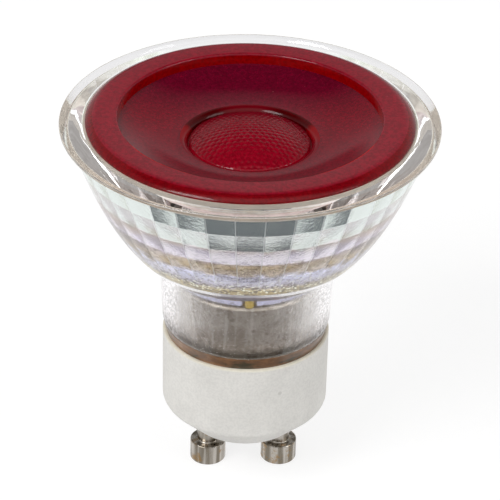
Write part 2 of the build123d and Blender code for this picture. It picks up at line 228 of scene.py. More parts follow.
def beadTree():
    # raises the honeycomb of small lenses on the dome
    tree, given, out = newTree("GeometryNodeTree", "lensBeads", {
        "Geometry": "Geometry", "Material": "Material", "Pitch": 0.8 * mm, "Rise": 0.1 * mm,
        "Reach": 8 * mm, "Zone": 1}, {"Geometry": "Geometry"})
    pitch = given.outputs["Pitch"]
    rowGap = calc(tree, "MULTIPLY", pitch, math.sqrt(3) / 2)
    half = calc(tree, "ROUND", calc(tree, "DIVIDE", given.outputs["Reach"], rowGap))
    gaps = calc(tree, "MULTIPLY", half, 2.0)
    count = calc(tree, "ADD", gaps, 1.0)
    grid = add(tree, "GeometryNodeMeshGrid", {
        "Size X": calc(tree, "MULTIPLY", gaps, pitch), "Size Y": calc(tree, "MULTIPLY", gaps, rowGap),
        "Vertices X": count, "Vertices Y": count})
    # every other row of centres moves over by half a pitch
    gridY = axes(tree, tree.nodes.new("GeometryNodeInputPosition").outputs[0])[1]
    row = calc(tree, "ROUND", calc(tree, "DIVIDE", gridY, rowGap))
    odd = calc(tree, "FLOORED_MODULO", row, 2.0)
    shift = add(tree, "ShaderNodeCombineXYZ", {
        "X": calc(tree, "MULTIPLY", calc(tree, "MULTIPLY", odd, 0.5), pitch)})
    stagger = add(tree, "GeometryNodeSetPosition", {"Geometry": grid.outputs[0],
                                                    "Offset": shift.outputs[0]})
    x, y, z = axes(tree, tree.nodes.new("GeometryNodeInputPosition").outputs[0])
    flat = add(tree, "ShaderNodeCombineXYZ", {"X": x, "Y": y})
    near = tree.nodes.new("GeometryNodeProximity")
    near.target_element = "POINTS"
    setInputs(near, {0: stagger.outputs[0], "Sample Position": flat.outputs[0]})
    # a cell's corner lies 0.577 of the pitch from its centre
    reach = calc(tree, "DIVIDE", near.outputs["Distance"], calc(tree, "MULTIPLY", pitch, 0.577))
    bulge = calc(tree, "SUBTRACT", 1.0, calc(tree, "MULTIPLY", reach, reach))
    lift = add(tree, "ShaderNodeCombineXYZ", {
        "Z": calc(tree, "MULTIPLY", bulge, given.outputs["Rise"])})
    move = add(tree, "GeometryNodeSetPosition", {"Offset": lift.outputs[0]})
    finishTree(tree, given, out, move)
    return tree


def newMaterial(name):
    # material with its Principled shader and Object coordinates ready
    material = bpy.data.materials.new(name)
    material.use_nodes = True
    nodes = material.node_tree.nodes
    shader = nodes["Principled BSDF"]
    coords = nodes.new("ShaderNodeTexCoord").outputs["Object"]
    return material, material.node_tree, shader, coords


def stretched(tree, coords, scale):
    # coordinates drawn out along an axis
    return add(tree, "ShaderNodeMapping", {"Vector": coords, "Scale": scale}).outputs[0]


def noise(tree, coords, scale, detail=3.0, rough=0.5):
    # noise on Object coordinates, in cycles per metre
    node = add(tree, "ShaderNodeTexNoise", {"Vector": coords, "Scale": scale, "Detail": detail,
                                            "Roughness": rough})
    return node.outputs["Fac"]


def ramp(tree, factor, stops, smooth=True):
    # colour ramp; a stop's colour is a tuple, or one number for grey
    node = add(tree, "ShaderNodeValToRGB", {"Fac": factor})
    node.color_ramp.interpolation = "EASE" if smooth else "LINEAR"
    while len(node.color_ramp.elements) < len(stops):
        node.color_ramp.elements.new(0.5)
    for element, (place, colour) in zip(node.color_ramp.elements, stops):
        rgb = (colour,) * 3 if isinstance(colour, (int, float)) else colour
        element.position = place
        element.color = (*rgb, 1.0)
    return node.outputs["Color"]


def blend(tree, factor, a, b, mode="MIX"):
    # colour mix of two sockets or colours
    node = tree.nodes.new("ShaderNodeMix")
    node.data_type = "RGBA"
    node.blend_type = mode
    a, b = [(*value, 1.0) if isinstance(value, tuple) else value for value in (a, b)]
    setInputs(node, {"Factor": factor, 6: a, 7: b})
    return node.outputs[2]


def times(tree, a, b):
    # one colour times another
    return blend(tree, 1.0, a, b, "MULTIPLY")


def bump(tree, height, strength, distance, shader):
    # fine relief on a shader; its depth is in metres
    node = add(tree, "ShaderNodeBump", {"Strength": strength, "Distance": distance, "Height": height})
    setInputs(shader, {"Normal": node.outputs[0]})


def srgb(r, g, b):
    # picture values 0 to 255 as linear colour
    out = []
    for value in (r, g, b):
        v = value / 255
        out.append(v / 12.92 if v <= 0.04045 else ((v + 0.055) / 1.055) ** 2.4)
    return tuple(out)


def speckGroup():
    # scattered round specks, such as dust and pits: 1 on a speck, 0 beside it
    tree, given, out = newTree("ShaderNodeTree", "specks", {
        "Vector": "Vector", "Scale": 1000.0, "Size": 0.2, "Share": 0.5}, {"Mask": "Float"})
    cells = add(tree, "ShaderNodeTexVoronoi", {"Vector": given.outputs["Vector"],
                                               "Scale": given.outputs["Scale"]})
    pick = add(tree, "ShaderNodeSeparateColor", {0: cells.outputs["Color"]})
    chosen = calc(tree, "LESS_THAN", pick.outputs[0], given.outputs["Share"])
    radius = calc(tree, "MULTIPLY", given.outputs["Size"], calc(tree, "ADD", pick.outputs[1], 0.35))
    inside = calc(tree, "SUBTRACT", 1.0, calc(tree, "DIVIDE", cells.outputs["Distance"], radius))
    spot = calc(tree, "MULTIPLY", calc(tree, "MAXIMUM", inside, 0.0), chosen)
    setInputs(out, {"Mask": calc(tree, "MINIMUM", calc(tree, "MULTIPLY", spot, 3.0), 1.0)})
    return tree


def scratchGroup():
    # fine scratches and drawing lines along one direction: 1 on a line, 0 beside it
    tree, given, out = newTree("ShaderNodeTree", "scratches", {
        "Vector": "Vector", "Scale": 1000.0, "Low": 0.5, "High": 0.6}, {"Mask": "Float"})
    lines = noise(tree, given.outputs["Vector"], given.outputs["Scale"])
    band = add(tree, "ShaderNodeMapRange", {"Value": lines, "From Min": given.outputs["Low"],
                                            "From Max": given.outputs["High"]})
    setInputs(out, {"Mask": band.outputs[0]})
    return tree


def useGroup(tree, group, coords, values):
    # places a shared effect in a material and returns its mask
    node = tree.nodes.new("ShaderNodeGroup")
    node.node_tree = group
    setInputs(node, {"Vector": coords, **values})
    return node.outputs["Mask"]


def aroundAxis(tree, coords):
    # turn about the axis, in half turns from the front, and the radius in millimetres
    x, y, z = axes(tree, coords)
    away = calc(tree, "ARCTAN2", calc(tree, "ABSOLUTE", x), calc(tree, "MULTIPLY", y, -1.0))
    squares = calc(tree, "ADD", calc(tree, "MULTIPLY", x, x), calc(tree, "MULTIPLY", y, y))
    return calc(tree, "DIVIDE", away, math.pi), calc(tree, "DIVIDE", calc(tree, "SQRT", squares), mm)


def solid(name, colour, rough, metal=0.0, mottle=0.06, scale=300, grain=0.0):
    # matt or metal finish with a slight mottle and grain
    material, tree, shader, coords = newMaterial(name)
    dark = tuple(c * (1 - mottle) for c in colour)
    light = tuple(min(1.0, c * (1 + mottle)) for c in colour)
    tint = ramp(tree, noise(tree, coords, scale, 4.0, 0.6), [(0.3, dark), (0.7, light)])
    setInputs(shader, {"Base Color": tint, "Roughness": rough, "Metallic": metal})
    if grain:
        bump(tree, noise(tree, coords, scale * 8, 3.0), grain, 0.0005, shader)
    return material


def paint(piece, materials):
    # gives each zone its material slot
    mesh = piece.data
    mesh.materials.clear()
    for material in materials:
        mesh.materials.append(material)
    zones = [0] * len(mesh.polygons)
    mesh.attributes["zone"].data.foreach_get("value", zones)
    mesh.polygons.foreach_set("material_index", zones)


effects = {"specks": speckGroup(), "scratches": scratchGroup()}

# sizes in millimetres, each point as (radius, height) unless it says otherwise
glass = {
    "columns": 36,          # facets in a row
    "turn": -1.8,           # degrees from a facet's middle to the front
    "rows": [(52.5, 20.9), (49.6, 19.85), (46.65, 18.45), (43.95, 16.95), (41.75, 15.5),
             (39.1, 13.6)],     # edges of the facet rows: height and radius
    "ringFoot": (12.3, 37.3),   # foot of the smooth ring under the facets
    "chamfer": 0.05,        # narrow bevel where two rows meet
    "columnCuts": (0.04, 0.2, 0.4, 0.6, 0.8, 0.96),     # verticals across a column, in its widths
    "neckTop": (11.89, 33.9),
    "neckLow": 11.5,
    "neckFoot": 23.2,
    "neckRound": 1.6,
    "bowlTop": 51.9,
    "swell": 11.5,          # how far the bowl widens over the neck
    "power": 0.724,         # the bowl's curve: it widens fastest at its foot
    "weight": 1.73,
    "bowlSteps": 26,
    "rimRoot": 52.78,       # where the bowl turns out into the rim
    "rimSlope": 30,         # degrees that the rim's underside rises
    "lipRound": 0.6,
    "edgeRound": 0.2,
    "band": 0.15,           # upright band round the rim's edge
    "spigot": (9.4, 17.9),
    "bore": 8.35,
    "boreSteps": 6,
    "floorRing": (9.6, 34.6),
    "throat": 0.8,          # depth of the funnel from the floor ring to the bore
    "seat": (21.8, 52.5),
    "seatGap": 0.03,
    "mouth": (0.2, 0.3),    # bevel at the seat's upper edge: width and depth
    "sharp": 28,            # degrees between faces past which an edge stays sharp
}

rimLook = {
    "clear": (0.982, 0.98, 0.992),  # tint of the glass
    "paintedBrown": (0.74, 0.60, 0.54),    # painted reflection: brown lines along the rim's near edge, where the red lens shows through the glass
    "lines": 3.2,                   # lines to a millimetre
    "linesPast": 77.6,              # radius and height added up, past which they show
    "waves": 3.0,                   # broad waves in the surface and finer upright ones
    "flow": 0.35,
    "paintedGlow": 0.22,                   # painted glow standing for light kept in the glass
    "nearPaintedGlow": 0.15,               # more of it at the near side
}


def clearGlass():
    # pressed glass, slightly wavy, with painted brown lines and a painted glow at the rim
    material, tree, shader, coords = newMaterial("clearGlass")
    radius = aroundAxis(tree, coords)[1]
    x, y, z = axes(tree, coords)
    place = calc(tree, "ADD", radius, calc(tree, "DIVIDE", z, mm))
    lines = tree.nodes.new("ShaderNodeTexNoise")
    lines.noise_dimensions = "1D"
    setInputs(lines, {"W": place, "Scale": rimLook["lines"]})
    # painted reflection of the red lens: brown lines on the rim's outer part, at its near side only
    outer = calc(tree, "GREATER_THAN", place, rimLook["linesPast"])
    # y times -40 is 1 at the very front of the rim
    near = ramp(tree, calc(tree, "MULTIPLY", y, -40.0), [(0.35, 0.0), (0.75, 1.0)])
    line = ramp(tree, lines.outputs["Fac"], [(0.42, 0.25), (0.58, 1.0)])
    paintedBrown = calc(tree, "MULTIPLY", calc(tree, "MULTIPLY", outer, near), line)
    setInputs(shader, {"Base Color": blend(tree, paintedBrown, rimLook["clear"], rimLook["paintedBrown"]),
                       "Roughness": 0.0, "IOR": 1.5, "Transmission Weight": 1.0})
    waves = noise(tree, coords, 120, 1.0)
    flow = noise(tree, stretched(tree, coords, (1, 1, 0.25)), 500, 2.0, 0.5)
    height = calc(tree, "ADD", calc(tree, "MULTIPLY", waves, rimLook["waves"]),
                  calc(tree, "MULTIPLY", flow, rimLook["flow"]))
    bump(tree, height, 0.02, 0.001, shader)
    # painted glow: emission stands in for light that has gone to and fro in the rim and comes out milky
    depth = tree.nodes.new("ShaderNodeLightPath").outputs["Ray Depth"]
    trapped = calc(tree, "MULTIPLY", calc(tree, "GREATER_THAN", depth, 2.5),
                   calc(tree, "LESS_THAN", depth, 4.5))
    streaks = ramp(tree, noise(tree, coords, 700, 4.0, 0.7),
                   [(0.35, (0.7, 0.66, 0.62)), (0.65, (1.1, 1.05, 1.02))])
    paintedGlow = calc(tree, "MULTIPLY_ADD", near, rimLook["nearPaintedGlow"], rimLook["paintedGlow"])
    setInputs(shader, {"Emission Color": streaks,
                       "Emission Strength": calc(tree, "MULTIPLY", trapped, paintedGlow)})
    return material


boreLook = {
    "clear": (0.98, 0.96, 0.94),
    "pit": (0.66, 0.62, 0.57),
    "pits": {"Scale": 1900.0, "Size": 0.5, "Share": 0.35},
    "grit": (0.8, 0.00016),     # strength and depth of the grit
    "slant": [(0.25, 0.0), (0.36, 0.17), (0.52, 0.22)],     # strength of the painted sparkle for scattered light, by Facing
    "paintedSparkle": [(0.44, (0.1, 0.1, 0.09)), (0.57, (2.0, 1.94, 2.0))],
    "chip": (0.05, 0.05, 0.04),
    "chips": {"Scale": 1500.0, "Size": 0.4, "Share": 0.3},
}


def boreGlass():
    # the pressed bore, pitted by the plunger, with a painted sparkle
    material, tree, shader, coords = newMaterial("boreGlass")
    pits = useGroup(tree, effects["specks"], coords, boreLook["pits"])
    setInputs(shader, {"Base Color": blend(tree, pits, boreLook["clear"], boreLook["pit"]),
                       "Roughness": 0.05, "IOR": 1.5, "Transmission Weight": 1.0})
    bump(tree, noise(tree, coords, 2300, 4.0, 0.75), *boreLook["grit"], shader)
    # painted sparkle: emission by Facing stands in for the light that the pitted wall scatters, seen best
    # at a slant
    facing = tree.nodes.new("ShaderNodeLayerWeight").outputs["Facing"]
    paintedSparkle = ramp(tree, noise(tree, coords, 2600, 3.0, 0.7), boreLook["paintedSparkle"])
    chips = useGroup(tree, effects["specks"], coords, boreLook["chips"])
    setInputs(shader, {"Emission Color": blend(tree, chips, paintedSparkle, boreLook["chip"]),
                       "Emission Strength": ramp(tree, facing, boreLook["slant"])})
    return material


coatLook = {
    # the coat's tint from the floor ring, 0, to the top of the first row, 1
    "tints": [
        (0.15, srgb(170, 152, 110)), (0.21, srgb(198, 184, 142)), (0.26, srgb(186, 180, 186)),
        (0.37, srgb(226, 228, 250)), (0.41, srgb(208, 196, 184)), (0.50, srgb(222, 214, 208)),
        (0.54, srgb(238, 232, 240)), (0.66, srgb(240, 236, 238)), (0.69, srgb(232, 240, 236)),
        (1.00, srgb(230, 238, 234))],
    "wobble": 0.12,
    "columnShades": [(0.0, (0.80, 0.80, 0.84)), (1.0, 1.06)],
    "shadedBelow": [(0.30, 1.0), (0.60, 0.0)],
    "paintedHighlight": 0.02,             # half width of the painted highlight line between two columns, in columns
    "highlightFrom": [(0.24, 0.0), (0.28, 1.0)],
    "highlightTint": (0.92, 0.94, 0.96),
    "highlightStrength": 0.6,
    "metal": 0.92,
    "highlightMetal": -0.45,
    "specksByHeight": [(0.24, 0.85), (0.30, 0.35), (0.50, 0.35), (0.60, 0.0)],
    "darkSpecks": {"Scale": 2700.0, "Size": 0.8, "Share": 0.6},
    "darkSpeck": srgb(92, 76, 58),
    "paleSpecks": {"Scale": 3000.0, "Size": 0.55, "Share": 0.35},
    "paleSpeck": srgb(240, 242, 226),
    "slant": 0.74,              # Facing past which the coat shows only the painted glow, without highlight lines
    # painted shade on the coat's colour at a slant
    "paintedSlantShade": [(0.50, 1.0), (0.62, (0.45, 0.41, 0.40))],
    "slantPaintedGlow": 1.5,
    "paintedGlow": 0.32,               # painted glow for light kept in the glass wall
    "paintedGlowTint": (1.0, 0.93, 0.88),
    "through": 0.075,           # painted glow for the room's light that the coat lets through
    "paintedThroughTint": (0.93, 0.97, 1.0),
}


def facetCoat():
    # vapour-deposited mirror on the facets, tinted row by row, with painted highlight lines down the
    # column borders, painted shade at a slant and a painted glow for light kept in the glass wall and the
    # room's light that it passes
    material, tree, shader, coords = newMaterial("facetCoat")
    x, y, z = axes(tree, coords)
    low, high = glass["floorRing"][1] * mm, glass["rows"][0][0] * mm
    height = calc(tree, "DIVIDE", calc(tree, "SUBTRACT", z, low), high - low)
    wobble = calc(tree, "SUBTRACT", noise(tree, coords, 700, 3.0), 0.5)
    place = calc(tree, "ADD", height, calc(tree, "MULTIPLY", wobble, coatLook["wobble"]))
    tint = ramp(tree, place, coatLook["tints"], smooth=False)
    # the columns differ a little, and a painted highlight line runs down each border
    turn = calc(tree, "ARCTAN2", y, x)
    start = math.radians(-90 + glass["turn"]) - math.pi / glass["columns"]
    column = calc(tree, "MULTIPLY", calc(tree, "SUBTRACT", turn, start - math.tau),
                  glass["columns"] / math.tau)
    across = calc(tree, "FRACT", column)
    edge = calc(tree, "MINIMUM", across, calc(tree, "SUBTRACT", 1.0, across))
    paintedHighlight = calc(tree, "MULTIPLY", calc(tree, "LESS_THAN", edge, coatLook["paintedHighlight"]),
                  ramp(tree, height, coatLook["highlightFrom"]))
    # at a slant through the glass the coat gets painted shade and a painted glow in place of the
    # highlight lines
    facing = tree.nodes.new("ShaderNodeLayerWeight").outputs["Facing"]
    slant = calc(tree, "GREATER_THAN", facing, coatLook["slant"])
    paintedHighlight = calc(tree, "MULTIPLY", paintedHighlight, calc(tree, "SUBTRACT", 1.0, slant))
    pick = tree.nodes.new("ShaderNodeTexWhiteNoise")
    pick.noise_dimensions = "1D"
    setInputs(pick, {"W": calc(tree, "FLOOR", column)})
    shade = ramp(tree, pick.outputs["Value"], coatLook["columnShades"])
    below = ramp(tree, height, coatLook["shadedBelow"])
    tint = blend(tree, below, tint, times(tree, tint, shade))
    dark = useGroup(tree, effects["specks"], coords, coatLook["darkSpecks"])
    pale = useGroup(tree, effects["specks"], coords, coatLook["paleSpecks"])
    lowDown = ramp(tree, height, coatLook["specksByHeight"])
    worn = blend(tree, calc(tree, "MULTIPLY", dark, lowDown), tint, coatLook["darkSpeck"])
    worn = blend(tree, calc(tree, "MULTIPLY", pale, lowDown), worn, coatLook["paleSpeck"])
    worn = blend(tree, calc(tree, "MULTIPLY", paintedHighlight, coatLook["highlightStrength"]), worn,
                 coatLook["highlightTint"])
    setInputs(shader, {
        "Base Color": times(tree, worn, ramp(tree, facing, coatLook["paintedSlantShade"])),
        "Metallic": calc(tree, "MULTIPLY_ADD", paintedHighlight, coatLook["highlightMetal"], coatLook["metal"]),
        "Roughness": 0.03, "Specular Tint": (0.72, 0.60, 0.57, 1)})
    # painted glow: emission stands in for light that has gone to and fro in the glass wall and comes back
    # milky, as from a real coat, and for the room's light that the coat lets through
    depth = tree.nodes.new("ShaderNodeLightPath").outputs["Ray Depth"]
    trapped = calc(tree, "MAXIMUM", calc(tree, "GREATER_THAN", depth, 1.5),
                   calc(tree, "MULTIPLY", slant, coatLook["slantPaintedGlow"]))
    streaks = ramp(tree, noise(tree, coords, 900, 4.0, 0.7), [(0.35, 0.75), (0.65, 1.15)])
    paintedGlow = times(tree, streaks, coatLook["paintedGlowTint"])
    glow = times(tree, blend(tree, trapped, coatLook["paintedThroughTint"], paintedGlow), worn)
    light = calc(tree, "MULTIPLY_ADD", trapped, coatLook["paintedGlow"], coatLook["through"])
    setInputs(shader, {"Emission Color": glow, "Emission Strength": light})
    bump(tree, noise(tree, coords, 2600, 3.0, 0.6), 0.3, 0.00004, shader)
    return material


def columnAngles():
    # directions of the verticals, a chamfer's width clear of each facet corner
    width = math.tau / glass["columns"]
    start = math.radians(-90 + glass["turn"]) - width / 2
    return [start + width * (k + cut) for k in range(glass["columns"]) for cut in glass["columnCuts"]]


def bowlRadius(height):
    # the bowl's outer radius, millimetres
    r0, z0 = glass["neckTop"]
    part = (height - z0) / (glass["bowlTop"] - z0)
    return r0 + glass["swell"] * (glass["weight"] * part ** glass["power"] - (glass["weight"] - 1) * part)


# zones of the glass body, each with its own material slot
clear, facets, goldRing, boreWall, seatWall = range(5)


def glassOutline():
    # the glass body's closed outline
    g = glass
    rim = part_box("glass_reflector")[1] / mm
    spigot, foot = g["spigot"]
    slant = (g["neckTop"][0] - g["neckLow"]) * g["neckRound"] / (g["neckTop"][1] - g["neckFoot"])
    corner = (g["neckLow"] - g["neckRound"], g["neckFoot"])
    points = [(g["bore"], foot), (spigot, foot), (spigot, g["neckFoot"]), corner]
    side = (g["neckLow"] + slant, g["neckFoot"] + g["neckRound"])
    points += quarter(corner, side, (corner[0], side[1]), 8)
    z0, span, steps = g["neckTop"][1], g["rimRoot"] - g["neckTop"][1], g["bowlSteps"]
    points += [g["neckTop"]]
    points += [(bowlRadius(z0 + span * (k / steps) ** 2), z0 + span * (k / steps) ** 2)
               for k in range(1, steps + 1)]
    rise = math.radians(g["rimSlope"])
    bandZ = rim.z - g["edgeRound"] - g["band"]
    lip = (rim.x - g["edgeRound"] * (1 - math.sin(rise)), bandZ - g["edgeRound"] * math.cos(rise))
    rootR = points[-1][0] + g["lipRound"] / 2
    root = (rootR, lip[1] - (lip[0] - rootR) * math.tan(rise))
    points += turnPoints(points[-1], root, g["lipRound"], 5)
    points += [lip] + quarter(lip, (rim.x, bandZ), (rim.x - g["edgeRound"], bandZ), 5)
    points += [(rim.x, rim.z - g["edgeRound"])]
    top = (rim.x - g["edgeRound"], rim.z)
    points += quarter(points[-1], top, (top[0], rim.z - g["edgeRound"]), 4)
    outline = [(r, z, clear) for r, z in points]
    # the seat lies a little inside the bond and under the lens, so no two faces coincide
    seat, seatZ = g["seat"]
    gap, (mouthWide, mouthDeep) = g["seatGap"], g["mouth"]
    outline += [(seat + mouthWide, rim.z, clear), (seat - gap, rim.z - mouthDeep, seatWall),
                (seat - gap, seatZ - gap, seatWall)]
    c = g["chamfer"]
    for (zu, ru), (zl, rl) in zip(g["rows"], g["rows"][1:]):
        slope = (ru - rl) / (zu - zl)
        outline += [(ru - slope * c, zu - c, facets), ((ru + rl) / 2, (zu + zl) / 2, facets),
                    (rl + slope * c, zl + c, facets)]
    lowZ, lowR = g["rows"][-1]
    ringR, ringZ = g["floorRing"]
    boreTop = ringZ - g["throat"]
    outline += [(lowR - c, lowZ - c, goldRing), (*g["ringFoot"], clear), (ringR, ringZ, boreWall)]
    outline += [(g["bore"], boreTop + (foot - boreTop) * k / g["boreSteps"], boreWall)
                for k in range(g["boreSteps"])]
    return outline


def makeGlass():
    piece = lathe("glassReflector", glassOutline(), columnAngles(), closed=True)
    # milky silicone lies on the seat, under and round the lens
    seatFilm = solid("seatFilm", srgb(206, 196, 180), 0.4, mottle=0.12, scale=260)
    coat = facetCoat()
    paint(piece, [clearGlass(), coat, coat, boreGlass(), seatFilm])
    bake(piece, facetTree(), {"Columns": glass["columns"], "Turn": math.radians(-90 + glass["turn"]),
                              "Zone": facets, "Material": coat})
    mesh = piece.data
    mesh.set_sharp_from_angle(angle=math.radians(glass["sharp"]))
    mesh.polygons.foreach_set("use_smooth", [p.material_index != facets for p in mesh.polygons])
    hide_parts("glass_reflector")
    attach(piece, "root")
    print("glass made,", len(mesh.polygons), "faces")


lens = {
    "radius": 21.6,
    "seat": 52.5,
    "shoulder": 54.3,
    "shoulderBend": (21.1, 54.72),
    "flat": 19.9,               # radius where the shoulder meets the flat ring
    "recess": 17.3,
    "draft": 0.06,              # how far the step's wall leans outward
    "step": 1.5,
    "stepRound": 0.3,
    "pit": (9.2, 51.5),
    "pitBend": (8.42, 51.2),    # a point of the rounded turn into the groove
    "grooveBend": (8.06, 50.52),
    "grooveEdge": (8.15, 50.55),
    "dome": (7.9, 53.2),
    "domeFoot": 51.0,
    "sag": 0.45,                # how far the dish curves down
    "skin": 1.9,                # thickness under the dish
    "flange": 0.6,              # how far outside the recess the flat rest under the ring starts
    "coneTop": (9.7, 48.0),
    "coneBend": (7.8, 41.0),
    "coneLow": (4.3, 33.9),
    "hollow": (3.1, 37.5),      # hollow for the LED: radius at its mouth, height of its wall
    "hollowDraft": 0.3,
    "hollowCrown": 0.9,
    "sides": 360,
    "sharp": 35,                # degrees between faces past which an edge stays sharp
    "beadPitch": 0.83,
    "beadRise": 0.10,
    "beadMargin": 1.0,          # how far the beads' grid runs past the dome
}

# the zones of the lens in order: colour, how clear the plastic is, shine, roughness, painted glow for
# light from below; the colours of one red plastic differ by zone with painted light and shade
reds = {
    "redDish": {"colour": (0.27, 0.001, 0.016), "clear": 0.45, "shine": 0.24},
    "redDome": {"colour": (0.29, 0.001, 0.012), "clear": 0.45, "shine": 0.22, "glow": 0.035},
    "redWall": {"colour": (0.36, 0.0, 0.001), "clear": 0.3, "shine": 0.1},
    "redRing": {"colour": (0.32, 0.003, 0.018), "clear": 0.3, "rough": 0.12},
    "redEdge": {"colour": (0.27, 0.001, 0.006), "clear": 0.4, "shine": 0.2},
    "redLip": {"colour": (0.32, 0.003, 0.018), "clear": 0.3, "shine": 0.2},
    "redPit": {"colour": (0.26, 0.001, 0.012), "clear": 0.4, "shine": 0.06},
    "redGroove": {"colour": (0.30, 0.001, 0.01), "clear": 0.3, "shine": 0.0, "glow": 0.12},
}

lensDust = {
    "specks": {"Scale": 1150.0, "Size": 0.1, "Share": 0.10},
    "strength": 0.35,
    "tint": (0.5, 0.15, 0.17),
}


def paintedDishShade(tree, coords, body):
    # painted shade: the far side of the dish is deeper and more purple, as it faces away from the light;
    # part is 1 at 2 cm behind the axis
    part = calc(tree, "DIVIDE", axes(tree, coords)[1], 0.02)
    return times(tree, body, ramp(tree, part, [(0.20, 1.0), (0.62, (0.68, 0.85, 1.25))]))


def paintedPitLight(tree, coords, body):
    # painted light and shade on the wall round the dome: bright crescents to either side, dark behind
    # them
    return ramp(tree, aroundAxis(tree, coords)[0], [
        (0.44, (0.26, 0.001, 0.012)), (0.52, (0.36, 0.0, 0.006)), (0.59, (0.36, 0.0, 0.004)),
        (0.65, (0.09, 0.0, 0.001)), (0.82, (0.09, 0.0, 0.001)), (0.93, (0.20, 0.0, 0.006))])


def paintedLipLight(tree, coords, body):
    # painted light and shade on the step's near edge: dark in front, bright arcs beside that
    turn = aroundAxis(tree, coords)[0]
    front = ramp(tree, turn, [(0.13, (0.10, 0.0, 0.001)), (0.17, (0.60, 0.0, 0.004)),
                              (0.33, (0.66, 0.0, 0.004)), (0.36, (0.3, 0.002, 0.012))])
    return blend(tree, ramp(tree, turn, [(0.34, 1.0), (0.40, 0.0)]), body, front)


def redLens(name, colour, clear, shine=0.35, rough=0.05, glow=None, paintedLight=None):
    # clear moulded plastic with fine streaks and a little dust, and painted light, shade and glow where
    # given
    material, tree, shader, coords = newMaterial(name)
    streaks = ramp(tree, noise(tree, coords, 2300, 4.0, 0.7), [(0.35, 0.74), (0.65, 1.2)])
    body = times(tree, streaks, colour)
    # painted light and shade for the zones that have it
    if paintedLight:
        body = paintedLight(tree, coords, body)
    if glow:
        # painted glow for light let through from below, towards the near side
        ahead = calc(tree, "MULTIPLY_ADD", axes(tree, coords)[1], -60.0, 0.5)
        setInputs(shader, {"Emission Strength": ramp(tree, ahead, [(0.40, 0.0), (0.85, glow)]),
                           "Emission Color": (1.0, 0.0, 0.03, 1.0)})
    dust = useGroup(tree, effects["specks"], coords, lensDust["specks"])
    dusty = blend(tree, calc(tree, "MULTIPLY", dust, lensDust["strength"]), body, lensDust["tint"])
    haze = calc(tree, "MULTIPLY_ADD", noise(tree, coords, 1500, 3.0, 0.7), 0.12, rough)
    setInputs(shader, {"Base Color": dusty, "Roughness": haze, "IOR": 1.49,
                       "Transmission Weight": clear, "Specular IOR Level": shine})
    return material


def lensOutline():
    # from the dome's top outwards, over the ring and back along the hidden side
    dish, dome, wall, ring, edge, lip, pit, groove = range(len(reds))
    s = lens
    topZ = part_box("front_lens")[1].z / mm
    domeR, domeTop = s["dome"]
    domeEdge = (domeR, s["domeFoot"])
    outline = [(0, domeTop, dome)]
    outline += [(r, z, dome) for r, z in reversed(crownPoints(domeR, s["domeFoot"], domeTop, 66)[:-1])]
    points = [domeEdge] + arcPoints(domeEdge, s["grooveBend"], s["grooveEdge"], 4)
    outline += [(r, z, groove) for r, z in points[:-1]] + [(*points[-1], pit)]
    points = arcPoints(s["grooveEdge"], s["pitBend"], s["pit"], 8)
    outline += [(r, z, pit) for r, z in points[:-1]] + [(*points[-1], dish)]
    stepLow = (s["recess"], topZ - s["step"])
    dishMid = ((s["recess"] + s["pit"][0]) / 2, (stepLow[1] + s["pit"][1]) / 2 - s["sag"])
    points = arcPoints(s["pit"], dishMid, stepLow, 18)
    outline += [(r, z, dish) for r, z in points[:-1]] + [(*stepLow, wall)]
    curve = s["stepRound"]
    wallTop = (s["recess"] + s["draft"], topZ - curve)
    points = [wallTop] + quarter(wallTop, (wallTop[0] + curve, topZ),
                                 (wallTop[0] + curve, topZ - curve), 6)
    outline += [(r, z, lip) for r, z in points[:-1]] + [(*points[-1], ring)]
    flat = (s["flat"], topZ)
    points = [flat] + arcPoints(flat, s["shoulderBend"], (s["radius"], s["shoulder"]), 10)
    outline += [(r, z, ring) for r, z in points[:4]] + [(r, z, edge) for r, z in points[4:]]
    points = [(s["radius"], s["seat"]), (s["recess"] + s["flange"], s["seat"])]
    backHigh = (s["recess"], stepLow[1] - s["skin"])
    backMid = (dishMid[0], dishMid[1] - s["skin"])
    backLow = (s["coneTop"][0], s["pit"][1] - s["skin"])
    points += [backHigh] + arcPoints(backHigh, backMid, backLow, 14) + [s["coneTop"]]
    points += arcPoints(s["coneTop"], s["coneBend"], s["coneLow"], 16)
    hollowR, hollowZ = s["hollow"]
    crownR, crownZ = hollowR - s["hollowDraft"], hollowZ + s["hollowCrown"]
    points += [(hollowR, s["coneLow"][1]), (crownR, hollowZ)]
    points += crownPoints(crownR, hollowZ, crownZ, 10)[:-1] + [(0, crownZ)]
    return outline + [(r, z, dish) for r, z in points]


def makeLens():
    angles = [math.tau * k / lens["sides"] for k in range(lens["sides"])]
    piece = lathe("frontLens", lensOutline(), angles, closed=False)
    paintedLights = {"redDish": paintedDishShade, "redPit": paintedPitLight, "redLip": paintedLipLight}
    made = {name: redLens(name, **values, paintedLight=paintedLights.get(name)) for name, values in reds.items()}
    paint(piece, made.values())
    bake(piece, beadTree(), {"Pitch": lens["beadPitch"] * mm, "Rise": lens["beadRise"] * mm,
                             "Reach": (lens["dome"][0] + lens["beadMargin"]) * mm,
                             "Zone": list(reds).index("redDome"), "Material": made["redDome"]})
    mesh = piece.data
    mesh.polygons.foreach_set("use_smooth", [True] * len(mesh.polygons))
    mesh.set_sharp_from_angle(angle=math.radians(lens["sharp"]))
    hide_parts("front_lens")
    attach(piece, "root")
    print("lens made,", len(mesh.polygons), "faces")


ceramic = {
    "cloud": [(0.3, srgb(222, 220, 215)), (0.7, srgb(231, 229, 224))],
    "dirt": {"Scale": 480.0, "Size": 0.13, "Share": 0.12},
    "dirtTint": srgb(120, 112, 104),
    "dirtStrength": 0.22,
    "stain": srgb(224, 210, 168),       # cement has stained the upper edge
    "stainReach": 0.001,
}


